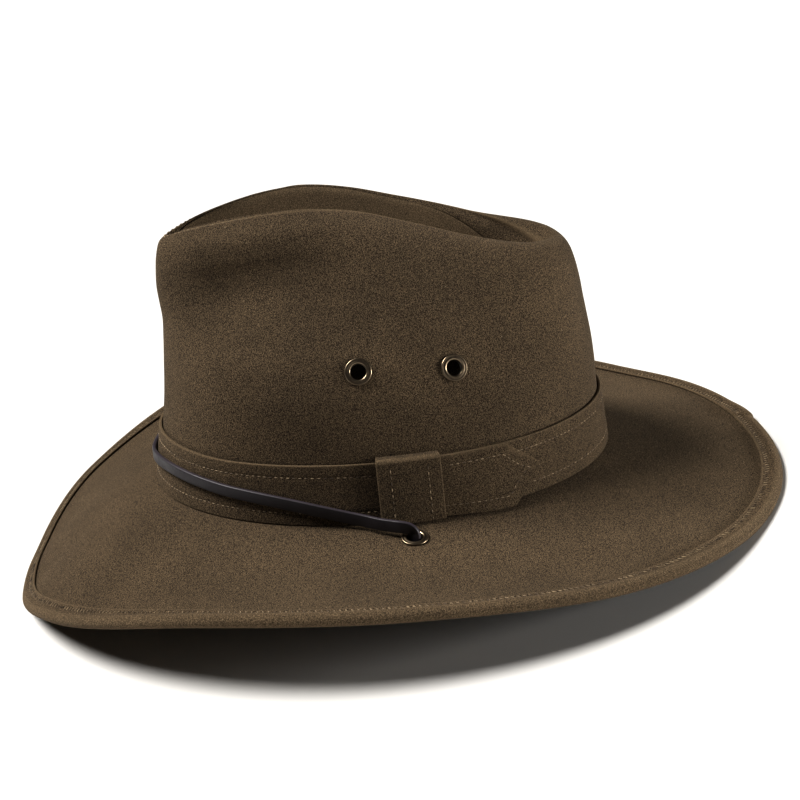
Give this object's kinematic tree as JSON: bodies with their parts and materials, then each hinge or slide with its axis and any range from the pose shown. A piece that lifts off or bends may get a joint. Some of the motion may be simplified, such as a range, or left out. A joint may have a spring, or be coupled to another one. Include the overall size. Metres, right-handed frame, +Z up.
{
  "type": "bush hat",
  "caption": "Wide-brimmed bush hat with a pinched and dented crown, bound brim, cloth band with a pointed tab, and a lace chin strap.",
  "frame": {"origin": "On the surface that the hat rests on, below the middle of the brim's outline.", "axes": "+X to the wearer's left, -Y to the front, +Z up from the surface."},
  "size_m": [0.3354, 0.3468, 0.1487],
  "materials": {
    "brushed_cotton": "brushed twill, matt",
    "binding_cotton": "folded strip of the same cloth, matt",
    "lace_leather": "smooth, slightly waxed",
    "antique_brass": "darkened, satin"
  },
  "bodies": {
    "root": {"crown_side": "brushed_cotton", "crown_top": "brushed_cotton", "brim": "brushed_cotton", "brim_binding": "binding_cotton", "hat_band": "brushed_cotton", "band_tab": "brushed_cotton", "band_keeper": "brushed_cotton", "vent_eyelet_left_front": "antique_brass", "vent_eyelet_left_back": "antique_brass", "vent_eyelet_right_front": "antique_brass", "vent_eyelet_right_back": "antique_brass", "strap_eyelet_left": "antique_brass", "strap_eyelet_right": "antique_brass", "chin_strap": "lace_leather", "chin_strap_loop": "lace_leather"}
  },
  "joints": []
}
